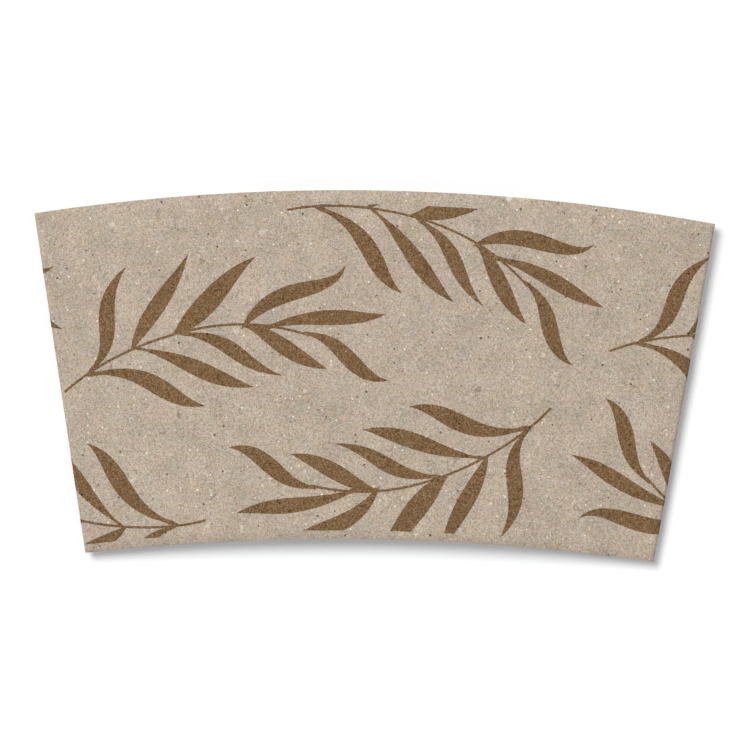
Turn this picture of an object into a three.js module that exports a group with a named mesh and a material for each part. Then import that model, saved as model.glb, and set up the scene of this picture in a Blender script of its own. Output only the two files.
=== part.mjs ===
// A takeaway cup sleeve as it is packed: a fan of board, folded flat at two side creases and
// glued into a tube with a lap seam on its back. Millimetres and degrees, +Z up. It lies on its
// back panel, with the wide rim edge towards +Y and the narrow base edge towards -Y.
//
// Every straight line from base edge to rim edge points at one apex, as on any cone, so one
// section at the rim, shrunk towards the apex, gives the whole surface. Only the board keeps its
// thickness on the way down.
import * as THREE from "three";

const rimWidth = 130.7; // one panel along its wide edge, fold to fold
const baseWidth = 108.8; // one panel along its narrow edge
const wallHeight = 66.5; // down the middle of a panel
const baseEdgeLift = 0.9; // the base edge is cut flatter than its arc, higher by this at the folds
const boardThickness = 0.5;
const foldInnerRadius = 0.3; // inside of a crease, at the rim
const springAngle = 5.2; // each panel springs this far away from flat at its creases
const restWidth = 24; // the back panel lies flat on this strip, at the rim
const lapWidth = 14; // where the two ends of the board are glued together
const lapOffset = 31; // from the middle of the back to the middle of the lap
const joggleWidth = 4; // the inner end steps over the outer one within this
const boardColour = 0xbaab99;

// How finely the curves are cut
const panelSteps = 28;
const foldSteps = 8;
const sideSteps = 9;
const lapSteps = 4;
const joggleSteps = 4;

// The cone that the fan is cut from
const rimRadius = (rimWidth * wallHeight) / (rimWidth - baseWidth);
const baseRadius = rimRadius - wallHeight;

// The section at the rim: two bowed panels between two creases
const spring = THREE.MathUtils.degToRad(springAngle);
const foldRadius = boardThickness + foldInnerRadius;
const foldCentreX = rimWidth / 2 - foldRadius;
const bowEndX = foldCentreX + foldRadius * Math.sin(spring);
const restHalf = restWidth / 2;
const frontBowRadius = bowEndX / Math.sin(spring);
const backBowRadius = (bowEndX - restHalf) / Math.sin(spring);
const backRise = backBowRadius * (1 - Math.cos(spring));
const foldCentreZ = backRise + foldRadius * Math.cos(spring);
const frontTopZ = foldCentreZ + foldRadius * Math.cos(spring) + frontBowRadius * (1 - Math.cos(spring));
const lapOuterX = -lapOffset - lapWidth / 2; // cut end of the outer ply
const lapInnerX = -lapOffset + lapWidth / 2; // cut end of the inner ply

// A station is a point of the printed outside of the board at the rim, with the way out of the
// board there, and how deep below that outside the board's two faces lie.
function station(x, z, outX, outZ, top = 0, bottom = boardThickness) {
  return { x, z, outX, outZ, top, bottom };
}

// The back: flat in the middle, then an arc up to each crease
function backAt(x, top, bottom) {
  const turn = Math.asin(Math.max(Math.abs(x) - restHalf, 0) / backBowRadius);
  const z = backBowRadius * (1 - Math.cos(turn));
  return station(x, z, Math.sign(x) * Math.sin(turn), -Math.cos(turn), top, bottom);
}

// The front: one arc from crease to crease
function frontAt(x) {
  const turn = Math.asin(x / frontBowRadius);
  const z = frontTopZ - frontBowRadius * (1 - Math.cos(turn));
  return station(x, z, Math.sin(turn), Math.cos(turn));
}

// A crease: the board turns round from one panel to the other
function foldAt(side, angle) {
  const [outX, outZ] = [side * Math.cos(angle), Math.sin(angle)];
  return station(side * foldCentreX + foldRadius * outX, foldCentreZ + foldRadius * outZ, outX, outZ);
}

// Values from first to last in equal steps, with both ends
function spread(first, last, steps) {
  return Array.from({ length: steps + 1 }, (_, i) => first + ((last - first) * i) / steps);
}

// Once round the tube, from the cut end of the outer ply to the cut end of the inner ply. The two
// plies of the lap are glued into one thickness, and each cut end is a step in one face.
function sectionStations() {
  const twoPlies = 2 * boardThickness;
  const turned = Math.PI / 2 - spring;
  const lap = spread(lapOuterX, lapInnerX, lapSteps).map((x) => backAt(x, 0, twoPlies));
  const backRight = [
    ...spread(lapInnerX, -restHalf, lapSteps),
    ...spread(restHalf, bowEndX, sideSteps),
  ].map((x) => backAt(x));
  const rightFold = spread(-turned, turned, foldSteps).map((angle) => foldAt(1, angle));
  const front = spread(bowEndX, -bowEndX, panelSteps).map((x) => frontAt(x));
  const leftFold = spread(turned, -turned, foldSteps).map((angle) => foldAt(-1, angle));
  const backLeft = spread(-bowEndX, lapOuterX - joggleWidth, sideSteps).map((x) => backAt(x));
  const joggle = spread(0, 1, joggleSteps).map((share) => {
    const depth = boardThickness * THREE.MathUtils.smoothstep(share, 0, 1);
    return backAt(lapOuterX - joggleWidth * (1 - share), depth, depth + boardThickness);
  });
  return [
    ...lap,
    ...backRight,
    ...rightFold.slice(1, -1),
    ...front,
    ...leftFold.slice(1, -1),
    ...backLeft,
    ...joggle.slice(1),
  ];
}

// Where the base edge crosses the line from a station to the apex
function baseRadiusAt(x) {
  return baseRadius + baseEdgeLift * (x / (rimWidth / 2)) ** 2;
}

// A point on the line from the apex through a station, at this distance from the apex and this
// depth into the board. The apex is the origin here.
function pointOn({ x, z, outX, outZ }, distance, depth) {
  const across = x / rimRadius;
  const up = z / rimRadius;
  const [sideways, forwards] = [Math.sin(across), Math.cos(across)];
  const line = new THREE.Vector3(
    sideways * Math.cos(up),
    forwards * Math.cos(up),
    Math.sin(up),
  );
  const alongX = new THREE.Vector3(forwards, -sideways, 0);
  const alongZ = new THREE.Vector3(
    -sideways * Math.sin(up),
    -forwards * Math.sin(up),
    Math.cos(up),
  );
  return line
    .multiplyScalar(distance)
    .addScaledVector(alongX, -depth * outX)
    .addScaledVector(alongZ, -depth * outZ);
}

// The closed wall: an outside and an inside face between each two stations, and the cut edges of
// the board at the rim and at the base
function sleeveGeometry() {
  const positions = [];
  const indices = [];
  const known = new Map();
  const corner = (from, distance, depth) => {
    const point = pointOn(from, distance, depth);
    const key = point.toArray().map((value) => value.toFixed(5)).join();
    if (!known.has(key)) {
      known.set(key, positions.length / 3);
      positions.push(...point.toArray());
    }
    return known.get(key);
  };
  const triangle = (a, b, c) => {
    if (a !== b && b !== c && c !== a) indices.push(a, b, c);
  };
  const quad = (a, b, c, d) => {
    triangle(a, b, c);
    triangle(a, c, d);
  };
  const rings = sectionStations().map((from) => ({
    outRim: corner(from, rimRadius, from.top),
    inRim: corner(from, rimRadius, from.bottom),
    outBase: corner(from, baseRadiusAt(from.x), from.top),
    inBase: corner(from, baseRadiusAt(from.x), from.bottom),
  }));
  rings.forEach((here, i) => {
    const next = rings[(i + 1) % rings.length];
    quad(here.outBase, here.outRim, next.outRim, next.outBase);
    quad(here.inBase, next.inBase, next.inRim, here.inRim);
    quad(here.outRim, here.inRim, next.inRim, next.outRim);
    quad(here.outBase, next.outBase, next.inBase, here.inBase);
  });
  const geometry = new THREE.BufferGeometry();
  geometry.setAttribute("position", new THREE.Float32BufferAttribute(positions, 3));
  geometry.setIndex(indices);
  geometry.computeVertexNormals();
  geometry.computeBoundingBox();
  return geometry;
}

const sleeve = new THREE.Mesh(
  sleeveGeometry(),
  new THREE.MeshStandardMaterial({ color: boardColour, roughness: 0.92, metalness: 0 }),
);
sleeve.name = "sleeve";

// The origin is under the middle of the sleeve, on the surface that it lies on
const { min, max } = sleeve.geometry.boundingBox;
sleeve.position.set(-(min.x + max.x) / 2, -(min.y + max.y) / 2, -min.z);

const cupSleeve = new THREE.Group();
cupSleeve.add(sleeve);

export default cupSleeve;
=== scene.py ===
# %% [markdown]
# # A coffee cup sleeve, folded flat
#
# The real object is one fan of recycled board, printed with brown leaves, folded at two side
# creases and glued into a tube with a lap down its back. It lies on its back panel. This lesson
# makes it from one idea: everything is first drawn flat on the fan, as the die cutter and the
# printer see it, and one function then wraps the fan into the folded tube.

# %% Start from the shared frame
import math

import bpy
import numpy as np
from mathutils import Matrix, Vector


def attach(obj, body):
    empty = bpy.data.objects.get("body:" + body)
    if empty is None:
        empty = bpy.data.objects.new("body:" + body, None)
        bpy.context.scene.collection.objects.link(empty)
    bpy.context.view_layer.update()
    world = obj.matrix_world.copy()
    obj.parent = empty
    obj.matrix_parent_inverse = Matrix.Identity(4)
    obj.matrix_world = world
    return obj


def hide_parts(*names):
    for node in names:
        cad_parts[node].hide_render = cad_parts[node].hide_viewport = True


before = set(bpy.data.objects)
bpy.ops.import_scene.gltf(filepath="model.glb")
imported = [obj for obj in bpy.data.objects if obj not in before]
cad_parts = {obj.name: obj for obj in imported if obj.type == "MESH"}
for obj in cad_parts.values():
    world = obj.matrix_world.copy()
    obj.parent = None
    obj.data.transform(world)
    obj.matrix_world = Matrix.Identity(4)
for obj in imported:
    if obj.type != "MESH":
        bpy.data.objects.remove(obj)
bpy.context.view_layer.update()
MM = 0.001

# %% [markdown]
# ## The fan and its folded section
#
# The fan's two long edges are arcs about one apex and its sides point at that apex, as on any
# cone. So a place on the fan is given by two numbers: how far round it is, measured along the rim
# edge in millimetres from the middle of the front (the girth), and how far it is from the apex.

# %% Sizes of the fan, in millimetres
RIM_WIDTH = 130.7
BASE_WIDTH = 108.8
WALL_HEIGHT = 66.5
BASE_EDGE_LIFT = 0.9
BOARD = 0.5
FOLD_INNER_RADIUS = 0.3
REST_HALF = 12.0
LAP_MIDDLE = 31.0
LAP_WIDTH = 14.0
JOGGLE = 4.0
SPRING = math.radians(5.2)

RIM_RADIUS = RIM_WIDTH * WALL_HEIGHT / (RIM_WIDTH - BASE_WIDTH)
BASE_RADIUS = RIM_RADIUS - WALL_HEIGHT
print("rim radius", round(RIM_RADIUS, 2), "base radius", round(BASE_RADIUS, 2))

# %% [markdown]
# ## Round the tube
#
# Seen from the rim, the folded board is made of straight stretches and arcs: a slightly bowed
# front, a tight turn at each crease, and a back that lies flat in the middle. Such a line could
# be drawn piece by piece with sines and cosines. It is shorter to say which way the line is
# heading: along an arc the heading changes evenly, and along a straight it stays. So a few knots
# of girth and heading, joined by straight lines, hold the whole section, and adding up small
# steps in that heading gives the places.

# %% Heading of the section at the rim
FOLD_RADIUS = BOARD + FOLD_INNER_RADIUS
FOLD_CENTRE = RIM_WIDTH / 2 - FOLD_RADIUS
BOW_END = FOLD_CENTRE + FOLD_RADIUS * math.sin(SPRING)

front_end = BOW_END / math.sin(SPRING) * SPRING
fold_end = front_end + FOLD_RADIUS * (math.pi - 2 * SPRING)
back_arc = (BOW_END - REST_HALF) / math.sin(SPRING) * SPRING
rest_start = fold_end + back_arc
rest_end = rest_start + 2 * REST_HALF
far_end = rest_end + back_arc
KNOTS = np.array([0, front_end, fold_end, rest_start, rest_end, far_end])
HEADINGS = np.array([0, -SPRING, SPRING - math.pi, -math.pi, -math.pi, -math.pi - SPRING])
print("girth of half the tube:", round(rest_start + REST_HALF, 2), "mm")


# %% Place and outward direction at any girth
def heading(girth):
    """Direction of travel round the section, in radians: the knots' value at the distance from
    the middle of the front, with the sign turned on the left side."""
    return np.sign(girth) * np.interp(np.abs(girth), KNOTS, HEADINGS)


WALK_STEPS = 40000
WALK = np.linspace(-far_end, far_end, WALK_STEPS + 1)


def walked(steps):
    """Running sum of the steps' sides by the trapezium rule, zero at the middle of the front."""
    total = np.concatenate([[0], np.cumsum((steps[1:] + steps[:-1]) / 2 * np.diff(WALK))])
    return total - np.interp(0, WALK, total)


WALK_X = walked(np.cos(heading(WALK)))
WALK_Z = walked(np.sin(heading(WALK)))
WALK_Z -= WALK_Z.min()
print("front stands", round(float(np.interp(0, WALK, WALK_Z)), 2), "mm above the table")

# %% [markdown]
# ## Where the two ends of the board lie
#
# The board's right-hand end comes round the back and stops past the middle: that is the outer
# ply. Its left-hand end comes the short way, steps inwards by one board's thickness and goes on
# under the outer ply, where it is glued. The step is what printers call a joggle.

# %% Girth of the cut ends
OUTER_END = rest_start + REST_HALF + LAP_MIDDLE + LAP_WIDTH / 2
TUBE = 2 * (rest_start + REST_HALF)
SEAM = OUTER_END - TUBE
INNER_END = SEAM - LAP_WIDTH
GLUE = 0.02


def smooth(share):
    """Rises from 0 to 1 with level ends: three times the square less twice the cube."""
    share = np.clip(share, 0, 1)
    return share * share * (3 - 2 * share)


def step_in(girth):
    """How far the left end has stepped inwards: nothing before the joggle, and the board's
    thickness and the glue's after it."""
    return (BOARD + GLUE) * smooth((SEAM + JOGGLE - girth) / JOGGLE)


print("seam at girth", round(SEAM, 2), "and inner end at", round(INNER_END, 2))


# %% [markdown]
# ## From the fan to space
#
# A line from the apex through a place on the section at the rim is a straight line of the cone.
# Going along it by the distance from the apex gives the outside of the board. The inside is
# found by going inwards, square to the outside.
#
# Board is never quite even, so the front also swells by a few hundredths of a millimetre in long,
# shallow waves.

# %% The function that folds the fan
HALF_ANGLE = RIM_WIDTH / 2 / RIM_RADIUS
APEX_Y = -(RIM_RADIUS + (BASE_RADIUS + BASE_EDGE_LIFT) * math.cos(HALF_ANGLE)) / 2
SWELL_HEIGHT = 0.07
SWELL_FADE = 14
FIRST_WAVE = (13, 31)
SECOND_WAVE = (-57, 17)


def swell(girth, radius):
    """Height of the front's waves: two long sines across each other, fading out towards the
    creases. Each wave has its length along the girth and along the radius, divided by a full
    turn; a negative one makes it run the other way."""
    first = np.sin(girth / FIRST_WAVE[0] + radius / FIRST_WAVE[1])
    second = np.sin(radius / SECOND_WAVE[1] + girth / SECOND_WAVE[0] + 1)
    fade = smooth((front_end - np.abs(girth)) / SWELL_FADE)
    return SWELL_HEIGHT * (first * second) * fade


def fold(girth, radius, depth):
    """Point of the folded board: its place on the section at the rim, drawn in towards the apex
    by radius over rim radius, then moved inwards by depth square to the outside."""
    depth = depth + step_in(girth) - swell(girth, radius)
    across = np.interp(girth, WALK, WALK_X) / RIM_RADIUS
    up = np.interp(girth, WALK, WALK_Z) / RIM_RADIUS
    out_x, out_z = -np.sin(heading(girth)), np.cos(heading(girth))
    sin_a, cos_a, sin_u, cos_u = np.sin(across), np.cos(across), np.sin(up), np.cos(up)
    x = radius * sin_a * cos_u - depth * (out_x * cos_a - out_z * sin_a * sin_u)
    y = radius * cos_a * cos_u + depth * (out_x * sin_a + out_z * cos_a * sin_u)
    z = radius * sin_u - depth * out_z * cos_u
    return np.stack(np.broadcast_arrays(x, y + APEX_Y, z), axis=-1)


print("middle of the front:", fold(np.array(0.0), np.array(RIM_RADIUS - 33), 0).round(2))


# %% [markdown]
# ## The board
#
# The board is one strip with a thickness: an outside, an inside, and four cut edges. It could be
# a plane with a Solidify modifier, but the cut edges then come out as flat walls. Here a line
# runs once round the board's thickness, up the outside, over the rim edge, down the inside and
# back under the base edge, and is carried along the girth. The cut edges are a little rounded,
# as a die leaves them. Share is 0 at the base edge and 1 at the rim edge, depth is 0 outside and 1
# inside, and pull draws the corners in.

# %% A line round the board's thickness
EDGE_SOFT = 0.06
WALL_ROWS = 28
edge_depth = np.array([0.0, 0.05, 0.16, 0.35, 0.5, 0.65, 0.84, 0.95, 1.0])
edge_pull = EDGE_SOFT * np.abs(2 * edge_depth - 1) ** 5
wall = np.linspace(0, 1, WALL_ROWS + 2)[1:-1]
back = slice(None, 0, -1)
still = np.zeros(WALL_ROWS)

loop_share = np.concatenate([[0], wall, np.ones(9), wall[::-1], np.zeros(8)])
loop_depth = np.concatenate([[0], still, edge_depth, still + 1, edge_depth[back]])
loop_pull = np.concatenate([edge_pull[:1], still, -edge_pull, still, edge_pull[back]])
print("points round the thickness:", loop_share.size)


# %% Stations along the girth, close together where the board turns
def stations(*stops):
    """Girths from first stop to last, each stretch given as (start, end, spacing)."""
    parts = [np.linspace(a, b, max(2, round((b - a) / gap) + 1))[:-1] for a, b, gap in stops]
    return np.concatenate([*parts, [stops[-1][1]]])


FRONT_GAP, BACK_GAP, JOGGLE_GAP, CREASE_GAP = 0.8, 1.2, 0.25, 0.1
girth_line = stations(
    (INNER_END, SEAM, BACK_GAP),
    (SEAM, SEAM + JOGGLE, JOGGLE_GAP),
    (SEAM + JOGGLE, -fold_end, BACK_GAP),
    (-fold_end, -front_end, CREASE_GAP),
    (-front_end, front_end, FRONT_GAP),
    (front_end, fold_end, CREASE_GAP),
    (fold_end, OUTER_END, BACK_GAP),
)
print("stations along the girth:", girth_line.size)


# %% The strip as a grid of points
def base_edge(girth):
    """Radius of the base edge: flatter than its arc, it rises with the square of the distance
    from the middle of its own panel."""
    middle = np.where(np.abs(girth) > TUBE / 4, np.sign(girth) * TUBE / 2, 0)
    return BASE_RADIUS + BASE_EDGE_LIFT * ((girth - middle) / (TUBE / 4)) ** 2


def board_points():
    """Points by station and by place round the thickness."""
    girth = girth_line[:, None]
    low = base_edge(girth)
    radius = low + loop_share * (RIM_RADIUS - low) + loop_pull
    return fold(girth, radius, BOARD * loop_depth)


def ring_faces(rows, ring):
    """Faces of a tube of points: each station's ring joined to the next, closed round the ring,
    and one many-sided face on each end."""
    at = np.arange(rows * ring).reshape(rows, ring)
    ahead = np.roll(at, -1, axis=1)
    sides = np.stack([at[:-1], at[1:], ahead[1:], ahead[:-1]], axis=-1).reshape(-1, 4)
    return sides.tolist() + [at[0].tolist(), at[-1, ::-1].tolist()]


# %% A helper that makes a mesh object from points in millimetres
def make_piece(name, points, faces):
    """An object at the origin with its place in its mesh."""
    mesh = bpy.data.meshes.new(name)
    mesh.from_pydata((points.reshape(-1, 3) * MM).tolist(), [], faces)
    mesh.validate()
    mesh.update()
    piece = bpy.data.objects.new(name, mesh)
    bpy.context.scene.collection.objects.link(piece)
    return piece


points = board_points()
board = make_piece("folded_board", points, ring_faces(*points.shape[:2]))
for polygon in board.data.polygons[:]:
    polygon.use_smooth = polygon.loop_total == 4
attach(board, "root")
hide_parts("sleeve")
print("board:", len(board.data.polygons), "faces")

# %% [markdown]
# ## One spray of leaves
#
# The print is one spray, used again and again at other angles: a thin curved stem with long,
# narrow leaves off both sides. Such leaves could be drawn as outlines, with a handle at every
# bend. A leaf is shorter to say as a midrib that passes through five points, and a width that
# swells from the stem and ends in a fine point. It is drawn flat in millimetres, with the start of
# the stem near zero.

# %% Each leaf: five points of its midrib, widest width, share at which it is widest, base width
LEAVES = [
    [(4.5, 1.5), (9.9, 5.4), (11.8, 9.8), (14.0, 14.4), (19.0, 18.6), 3.1, 0.51, 1.1],
    [(14.4, 3.1), (18.4, 6.8), (22.6, 10.0), (26.8, 13.2), (30.9, 17.0), 3.15, 0.44, 1.1],
    [(22.9, 3.5), (28.0, 5.3), (32.9, 7.8), (37.7, 10.3), (42.9, 12.1), 4.0, 0.41, 0.9],
    [(35.7, 0.0), (42.3, 3.0), (48.4, 3.2), (54.0, 2.9), (58.5, 4.9), 3.1, 0.42, 0.9],
    [(4.0, 1.6), (11.4, -0.4), (16.1, -4.0), (19.6, -8.1), (24.3, -11.5), 3.3, 0.57, 1.3],
    [(14.9, 3.5), (20.1, 0.2), (24.6, -3.7), (29.0, -7.7), (34.2, -11.2), 3.1, 0.6, 0.8],
    [(23.6, 3.4), (29.5, 0.2), (32.7, -3.2), (35.5, -7.0), (40.1, -11.0), 2.8, 0.51, 1.1],
    [(35.8, 0.8), (39.2, -2.0), (42.1, -5.8), (45.2, -9.6), (48.6, -12.6), 3.05, 0.52, 1.1],
    [(38.5, -1.4), (45.9, -1.9), (52.1, -3.5), (57.3, -5.3), (62.7, -6.6), 2.9, 0.55, 1.4],
    [(45.9, -4.4), (50.7, -7.9), (53.0, -12.0), (55.2, -15.9), (58.8, -18.6), 3.05, 0.52, 1.0],
]
STEM = [(-0.3, -0.1), (12.0, 3.0), (24.8, 3.2), (36.6, 0.6), (47.5, -5.5)]
STEM_WIDTH = 0.46
LEAF_FULLNESS = 0.95
LEAF_START = 0.1
LEAF_FLARE = 16
BASE_FADE = 5


def through(stops, share):
    """Smooth curve through points at even shares from 0 to 1: each point times the product that
    is 1 at its own share and 0 at every other point's."""
    knots = np.linspace(0, 1, len(stops))
    gaps = share[:, None] - knots
    weights = [
        np.prod(np.delete(gaps, i, 1), axis=1) / np.prod(np.delete(knots[i] - knots, i))
        for i in range(len(stops))
    ]
    return np.stack(weights, axis=1) @ np.array(stops)


def leaf_width(share, widest, where, base):
    """Sine hump, a little filled out, with its top moved to the given share. Near the stem it is
    at least as wide as its base, and it starts inside the stem as a fine point."""
    hump = np.sin(np.pi * share ** (math.log(0.5) / math.log(where))) ** LEAF_FULLNESS
    broad = np.maximum(widest * hump, base * (1 - share) ** BASE_FADE)
    return np.minimum(broad, LEAF_START + LEAF_FLARE * share)


print("leaves in a spray:", len(LEAVES))

# %% [markdown]
# ## Sprays on the fan
#
# Each spray is turned and put on the flat fan. The fan is drawn here with its apex below zero,
# so that zero is the middle of the base edge of the front. The front's sprays run on round the
# creases, and some more cover the back in the same way.

# %% Start of each stem on the flat fan in millimetres, and its angle in degrees
SPRAYS = [
    (-58.55, 27.25, 20.4),
    (-16.4, 62.55, -10.3),
    (33.95, 25.35, 205.3),
    (45.55, 36.65, -0.75),
    (98.1, -2.8, 168.0),
    (-31.7, 3.0, 173.0),
    (-119.5, 57.8, -11.3),
    (112.0, 20.0, -8.0),
    (158.5, -18.5, 185.0),
]


RIB_STEPS = 400


def spray_ribbons(start_x, start_y, degrees):
    """Midrib and width of every leaf and of the stem, turned by the angle and moved to the
    start: x and y each turn into cosine and sine shares of both."""
    share = np.linspace(0, 1, RIB_STEPS + 1)
    ribbons = [(through(leaf[:5], share), leaf_width(share, *leaf[5:])) for leaf in LEAVES]
    ribbons.append((through(STEM, share), np.full(share.size, STEM_WIDTH)))
    turn = math.radians(degrees)
    spin = np.array([[math.cos(turn), math.sin(turn)], [-math.sin(turn), math.cos(turn)]])
    return [(rib @ spin + (start_x, start_y), width) for rib, width in ribbons]


# %% [markdown]
# ## From a flat leaf to a film of ink
#
# Ink could be painted into the board's colour, which needs a very fine mesh or an image for crisp
# edges. Here each leaf is a film of its own, a few hundredths of a millimetre thick, carried along
# its midrib on the flat fan and folded by the same function as the board. Its edges stay sharp at
# any zoom, and it follows the creases.
#
# The printer keeps clear of the two long edges, so a leaf that runs into that margin ends in a
# clean cut along it. Leaves also end where the board is cut at the seam.

# %% Limits of the printed area
RIM_MARGIN = 2.7
BASE_MARGIN = 1.6
INK = 0.02
ACROSS = np.linspace(-1, 1, 9)
ROWS = 70
CREASE_REACH = 1.5
CREASE_ROWS = 8


def resample(grid, rows):
    """Rows of a grid at places between its own rows, each column by straight lines."""
    own = np.arange(len(grid))
    return np.stack([np.interp(rows, own, column) for column in grid.T], axis=1)


def ribbon_grid(rib, width):
    """Points of one leaf on the fan as girth and radius: the midrib, plus the direction square to
    it times half the width times a share from -1 to 1. Rows lie closer together at a crease, so
    that the film can follow it."""
    along = np.gradient(rib, axis=0)
    along /= np.linalg.norm(along, axis=1, keepdims=True)
    square = np.stack([-along[:, 1], along[:, 0]], axis=1)
    flat = rib[:, None] + square[:, None] * (width[:, None] / 2 * ACROSS)[..., None]
    girth = np.arctan2(flat[..., 0], flat[..., 1] + BASE_RADIUS) * RIM_RADIUS
    radius = np.hypot(flat[..., 0], flat[..., 1] + BASE_RADIUS)
    from_crease = np.abs(girth[:, ACROSS.size // 2]) - (front_end + fold_end) / 2
    pace = np.cumsum(1 + CREASE_ROWS * np.exp(-((from_crease / CREASE_REACH) ** 2)))
    rows = np.interp(np.linspace(pace[0], pace[-1], ROWS), pace, np.arange(pace.size))
    return resample(girth, rows), resample(radius, rows)


# %% Clip a leaf to the printed area and give it a thickness
def film(girth, radius, lift):
    """Top and bottom points of one leaf and its faces. Points past a limit slide back to it, and
    faces that lie wholly past it are left out. The rim of what is left is walled in."""
    low, high = base_edge(girth) + BASE_MARGIN, RIM_RADIUS - RIM_MARGIN
    past = (radius < low) | (radius > high) | (girth < SEAM) | (girth > OUTER_END)
    girth, radius = np.clip(girth, SEAM, OUTER_END), np.clip(radius, low, high)
    at = np.arange(girth.size).reshape(girth.shape)
    cells = np.stack([at[:-1, :-1], at[1:, :-1], at[1:, 1:], at[:-1, 1:]], -1).reshape(-1, 4)
    cells = cells[~past.ravel()[cells].all(axis=1)]
    top, bottom = fold(girth, radius, -lift), fold(girth, radius, INK / 2)
    points = np.concatenate([top.reshape(-1, 3), bottom.reshape(-1, 3)])
    edges = np.stack([cells, np.roll(cells, -1, axis=1)], -1).reshape(-1, 2)
    key = np.sort(edges, axis=1) @ [girth.size, 1]
    _, first, uses = np.unique(key, return_index=True, return_counts=True)
    rim = edges[first[uses == 1]]
    walls = np.concatenate([rim[:, ::-1], rim + girth.size], axis=1)
    return points, np.concatenate([cells, cells[:, ::-1] + girth.size, walls])


LEAF_LIFT = 0.08
SPRAY_LIFT = 0.02


def print_piece(name, sprays):
    """One object with every leaf and stem of the sprays. Films that overlap have their tops at
    slightly different heights, so that no two faces share a place."""
    all_points, all_faces, count = [], [], 0
    for number, spray in enumerate(sprays):
        for place, (rib, width) in enumerate(spray_ribbons(*spray)):
            girth, radius = ribbon_grid(rib, width)
            lift = INK * (1 + LEAF_LIFT * place + SPRAY_LIFT * (number % 4))
            points, faces = film(girth, radius, lift)
            if len(faces):
                used, faces = np.unique(faces, return_inverse=True)
                all_points.append(points[used])
                all_faces.append(faces.reshape(-1, 4) + count)
                count += len(used)
    return make_piece(name, np.concatenate(all_points), np.concatenate(all_faces).tolist())


leaf_print = print_piece("leaf_print", SPRAYS)
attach(leaf_print, "root")
print("print:", len(leaf_print.data.polygons), "faces")

# %% [markdown]
# ## Materials
#
# Shader nodes are easier to read as sums. This small class stands for one output socket and adds
# a Math node for every plus, minus or times.

# %% Numbers that vary over the surface
class Number:
    """One output socket, which can be added to, taken from and multiplied."""

    def __init__(self, recipe, socket):
        self.recipe, self.socket = recipe, socket

    def _math(self, operation, *values):
        node = self.recipe.node(
            "ShaderNodeMath", {"operation": operation}, dict(enumerate(values))
        )
        return Number(self.recipe, node.outputs[0])

    def __add__(self, other):
        return self._math("ADD", self, other)

    def __sub__(self, other):
        return self._math("SUBTRACT", self, other)

    def __rsub__(self, other):
        return self._math("SUBTRACT", other, self)

    def __mul__(self, other):
        return self._math("MULTIPLY", self, other)

    def __abs__(self):
        return self._math("ABSOLUTE", self)

    __radd__ = __add__
    __rmul__ = __mul__

    def over(self, start, end):
        """Rises from 0 at the start to 1 at the end, and stays there."""
        node = self.recipe.node(
            "ShaderNodeMapRange",
            {"interpolation_type": "SMOOTHSTEP"},
            {"Value": self, "From Min": start, "From Max": end},
        )
        return Number(self.recipe, node.outputs["Result"])


# %% A material in the making
class Recipe:
    """A new material, its nodes, and the place on the object in metres."""

    def __init__(self, name):
        self.material = bpy.data.materials.new(name)
        self.material.use_nodes = True
        self.tree = self.material.node_tree
        self.tree.nodes.clear()
        self.place = self.node("ShaderNodeTexCoord").outputs["Object"]

    def node(self, kind, settings=None, sockets=None):
        """Any node: its settings first, then the values or links of its sockets."""
        node = self.tree.nodes.new(kind)
        for setting, value in (settings or {}).items():
            setattr(node, setting, value)
        for socket, value in (sockets or {}).items():
            value = value.socket if isinstance(value, Number) else value
            if isinstance(value, bpy.types.NodeSocket):
                self.tree.links.new(value, node.inputs[socket])
            else:
                node.inputs[socket].default_value = value
        return node

    def moved(self, shift, stretch=1, turn=0):
        """The place, moved so that no two patterns line up. A pattern there is longer by the
        stretch along a line at the angle of the turn."""
        sockets = {
            "Vector": self.place,
            "Location": shift,
            "Rotation": (0, 0, math.radians(turn)),
            "Scale": (stretch, 1, 1),
        }
        node = self.node("ShaderNodeMapping", {"vector_type": "TEXTURE"}, sockets)
        return node.outputs["Vector"]

    def noise(self, size, shift, detail=2.0, stretch=1, turn=0):
        """Cloudy noise whose lumps are about as wide as the size, in millimetres."""
        where = self.moved(shift, stretch, turn)
        sockets = {"Vector": where, "Scale": 1 / (size * MM), "Detail": detail}
        return Number(self, self.node("ShaderNodeTexNoise", None, sockets).outputs["Fac"])

    def mix(self, share, first, second, blend="MIX"):
        """Two colours mixed by a share."""
        settings = {"data_type": "RGBA", "blend_type": blend}
        return self.node("ShaderNodeMix", settings, {0: share, 6: first, 7: second}).outputs[2]


# %% [markdown]
# ## Recycled board
#
# Grey board is pulp of old paper. Close to, it is a fine mottle of paler and darker fibres, with
# white specks of bleached paper, a few dark specks of old ink, and here and there a fibre as long
# as a hair. Each of these is a mask made from noise, and each mask mixes in its own colour.

# %% Colours of the board and of the ink, as linear shares of red, green and blue
def linear(red, green, blue):
    """Shares of light for a colour given in the usual 0 to 255 steps, with full cover."""
    steps = np.array([red, green, blue]) / 255
    light = np.where(steps <= 0.04045, steps / 12.92, ((steps + 0.055) / 1.055) ** 2.4)
    return (*light.tolist(), 1.0)


PALE_FIBRE = linear(217, 201, 183)
DARK_FIBRE = linear(147, 131, 114)
WHITE_SPECK = linear(238, 232, 222)
DARK_SPECK = linear(88, 74, 62)
INK_TINT = (0.293, 0.148, 0.01, 1.0)
print("pale fibre is", [round(share, 3) for share in PALE_FIBRE])


# %% Mottle of short fibres
def fibre_mottle(recipe):
    """One fine even noise and three that are stretched along lines in three directions, added
    up: grains and short fibres that lie every way."""
    mottle = recipe.noise(0.15, (0.31, 0.07, 0.2), 3) * 0.4
    for turn in (25, 85, 145):
        mottle = mottle + recipe.noise(0.16, (0.11, turn * MM, 0.4), 1, 4, turn) * 0.2
    return mottle.over(0.36, 0.64)


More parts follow.
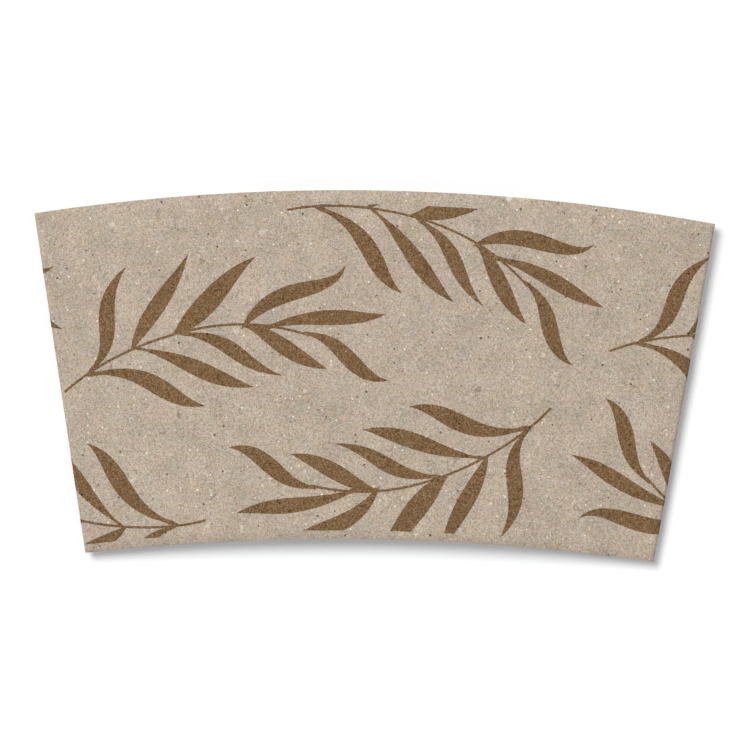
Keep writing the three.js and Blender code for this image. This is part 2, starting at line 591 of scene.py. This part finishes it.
# %% Specks: balls of a Voronoi pattern, cut by the board's surface
def specks(recipe, apart, radius, shift, edge=0.06):
    """Mask of round specks: 1 where the nearest of many scattered points is closer than a radius
    that differs from point to point, fading over the width of the edge, in millimetres."""
    near = recipe.node(
        "ShaderNodeTexVoronoi", None, {"Vector": recipe.moved(shift), "Scale": 1 / (apart * MM)}
    )
    shades = recipe.node("ShaderNodeSeparateColor", None, {0: near.outputs["Color"]})
    chance = Number(recipe, shades.outputs[0])
    reach = chance * (radius / apart) - Number(recipe, near.outputs["Distance"])
    return reach.over(0, edge / apart)


HAIR_SWEEP, HAIR_CORE, HAIR_EDGE = 5, 0.002, 0.008
HAIR_PATCH, PATCH_START, PATCH_FULL = 1.6, 0.56, 0.6


def hairs(recipe, shift):
    """Mask of fine curved lines: where a slow noise passes its middle value, kept only in
    patches."""
    slow = recipe.noise(HAIR_SWEEP, shift, 1)
    line = 1 - abs(slow - 0.5).over(HAIR_CORE, HAIR_EDGE)
    return line * recipe.noise(HAIR_PATCH, shift, 0).over(PATCH_START, PATCH_FULL)


# %% The one small scuff on the rim edge
SCUFF_GIRTH, SCUFF_FROM_RIM = 25.6, 0.25
SCUFF_CORE, SCUFF_REACH = 0.3, 0.75
SCUFF = Vector(fold(SCUFF_GIRTH, RIM_RADIUS - SCUFF_FROM_RIM, 0)) * MM


def scuff(recipe):
    """Mask of a soft ball: 1 up to its core from the scuff's place, 0 past its reach."""
    away = recipe.node(
        "ShaderNodeVectorMath", {"operation": "DISTANCE"}, {0: recipe.place, 1: SCUFF}
    )
    return 1 - Number(recipe, away.outputs["Value"]).over(SCUFF_CORE * MM, SCUFF_REACH * MM)


# %% Slow drifts of tone and hue
def drifted(recipe, colour):
    """The colour times one plus a drift: the same for red, green and blue where the tone drifts,
    more red where it is rosy and less blue where it is yellow."""

    def drift(size, shift, amount):
        return (recipe.noise(size, shift, 1) - 0.5) * amount

    tone = drift(1.7, (0.17, 0.41, 0.3), 0.16) + drift(6, (0.44, 0.05, 0.21), 0.32)
    rosy = drift(2.2, (0.61, 0.19, 0.8), 0.2)
    yellow = drift(2.6, (0.9, 0.72, 0.14), 0.2)
    shares = {0: 1 + tone + rosy, 1: 1 + tone, 2: 1 + tone - yellow}
    factor = recipe.node("ShaderNodeCombineColor", None, shares).outputs[0]
    return recipe.mix(1.0, colour, factor, "MULTIPLY")


# %% The board's colour
def board_colour(recipe, mottle):
    """Mottle of two fibre colours, times slow drifts, then one mask after another, each with the
    share and the colour that it mixes in."""
    colour = drifted(recipe, recipe.mix(mottle, DARK_FIBRE, PALE_FIBRE))
    layers = [
        (hairs(recipe, (0.29, 0.3, 0.5)), 0.4, DARK_SPECK),
        (hairs(recipe, (0.83, 0.22, 0.15)), 0.3, WHITE_SPECK),
        (specks(recipe, 4.5, 0.8, (0.33, 0.7, 0.45), 0.5), 0.3, WHITE_SPECK),
        (specks(recipe, 1.4, 0.26, (0.52, 0.11, 0.6)), 0.8, WHITE_SPECK),
        (specks(recipe, 1.8, 0.27, (0.26, 0.62, 0.1)), 0.9, DARK_SPECK),
        (scuff(recipe), 0.75, WHITE_SPECK),
    ]
    for mask, share, tint in layers:
        colour = recipe.mix(mask * share, colour, tint)
    return colour


# %% Finish: matt, with a slight tooth
TOOTH_SIZE = 0.3
TOOTH_HEIGHT = 0.03
TOOTH_STRENGTH = 0.25
PAPER_GLOSS = 0.2
BOARD_ROUGHNESS = 0.92
INK_ROUGHNESS = 0.85


def paper_finish(recipe, colour, roughness):
    """Joins a colour to a rough surface with fine bumps from the same noise."""
    tooth = recipe.noise(TOOTH_SIZE, (0.31, 0.07, 0.2), 2)
    height = {"Strength": TOOTH_STRENGTH, "Distance": TOOTH_HEIGHT * MM, "Height": tooth}
    bump = recipe.node("ShaderNodeBump", None, height)
    sockets = {"Base Color": colour, "Roughness": roughness, "Normal": bump.outputs["Normal"]}
    surface = recipe.node("ShaderNodeBsdfPrincipled", None, sockets)
    surface.inputs["Specular IOR Level"].default_value = PAPER_GLOSS
    output = recipe.node("ShaderNodeOutputMaterial")
    recipe.tree.links.new(surface.outputs[0], output.inputs["Surface"])
    return recipe.material


plain = Recipe("recycled_board")
plain_colour = board_colour(plain, fibre_mottle(plain))
board.data.materials.append(paper_finish(plain, plain_colour, BOARD_ROUGHNESS))

# %% [markdown]
# ## Brown ink
#
# The ink is thin and soaks in, so the board's mottle shows through it. Its colour is the board's
# own colour multiplied by one brown tint, at the same places. The palest fibres take the ink
# least, so a little bare board is mixed back in there.

# %% The ink's colour
UNINKED = 0.3
inked = Recipe("brown_ink")
mottle = fibre_mottle(inked)
bare = board_colour(inked, mottle)
soaked = inked.mix(1.0, bare, INK_TINT, "MULTIPLY")
tinted = inked.mix(mottle * UNINKED, soaked, bare)
leaf_print.data.materials.append(paper_finish(inked, tinted, INK_ROUGHNESS))
print("materials:", [material.name for material in (plain.material, inked.material)])

# %% [markdown]
# ## Table, light and camera
#
# The photo is taken from straight above on a white table, with soft light from the upper left.
# The table's colour is just short of white, and a little glow that only the camera sees lifts it
# to white, so that the sleeve's soft shadow still darkens it.

# %% White table, just below the ink of the back, which the sleeve rests on
TABLE_DROP = 2.5 * INK * MM
TABLE_WHITE = (0.892, 0.905, 0.925, 1)
TABLE_GLOW = 0.15
TABLE_SIDE = 6
bpy.ops.mesh.primitive_plane_add(size=TABLE_SIDE, location=(0, 0, -TABLE_DROP))
table = bpy.context.object
table.name = "table"
RAYS = ["Is Camera Ray", "Is Glossy Ray", "Is Transmission Ray"]
top = Recipe("white_table")
ray = top.node("ShaderNodeLightPath")
seen = sum(Number(top, ray.outputs[kind]) for kind in RAYS)
matt = top.node("ShaderNodeBsdfDiffuse", None, {"Color": TABLE_WHITE})
glow = top.node("ShaderNodeEmission", None, {"Color": (1, 1, 1, 1), "Strength": seen * TABLE_GLOW})
both = top.node("ShaderNodeAddShader", None, {0: matt.outputs[0], 1: glow.outputs[0]})
top.node("ShaderNodeOutputMaterial", None, {"Surface": both.outputs[0]})
table.data.materials.append(top.material)

# %% Soft light from the upper left
scene = bpy.context.scene
scene.view_settings.view_transform = "Standard"
world = bpy.data.worlds.new("studio")
scene.world = world
world.use_nodes = True
SKY = 0.36
SKY_TINT = (0.98, 0.99, 1.0, 1)
sky = world.node_tree.nodes["Background"]
sky.inputs["Color"].default_value = SKY_TINT
sky.inputs["Strength"].default_value = SKY

LAMP_SPREAD = math.radians(28)
LAMP_LOWERED = math.radians(30)
LAMP_SIDE = (-0.7, 0.66)
LAMP_TINT = (1.0, 0.995, 0.98)
lamp = bpy.data.lights.new("window", "SUN")
lamp.angle = LAMP_SPREAD
lamp.energy = (1 - SKY) * math.pi / math.cos(LAMP_LOWERED)
lamp.color = LAMP_TINT
window = bpy.data.objects.new("window", lamp)
towards_lamp = Vector((*LAMP_SIDE, 1 / math.tan(LAMP_LOWERED)))
window.rotation_euler = towards_lamp.to_track_quat("Z", "Y").to_euler()
scene.collection.objects.link(window)

# %% Camera straight above, turned by the small angle that the fan is turned in the photo
FRAME_WIDTH = 143.2
FRAME_LEVEL = 4
FRAME_MIDDLE = (0.5, 31.26)
CAMERA_HEIGHT = 1500
CAMERA_TURN = math.radians(0.913)
lens = bpy.data.cameras.new("camera")
lens.lens = lens.sensor_width * (CAMERA_HEIGHT - FRAME_LEVEL) / FRAME_WIDTH
camera = bpy.data.objects.new("camera", lens)
middle_x, middle_y = FRAME_MIDDLE
camera.location = Vector((middle_x, BASE_RADIUS + middle_y + APEX_Y, CAMERA_HEIGHT)) * MM
camera.rotation_euler = (0, 0, CAMERA_TURN)
scene.collection.objects.link(camera)
scene.camera = camera
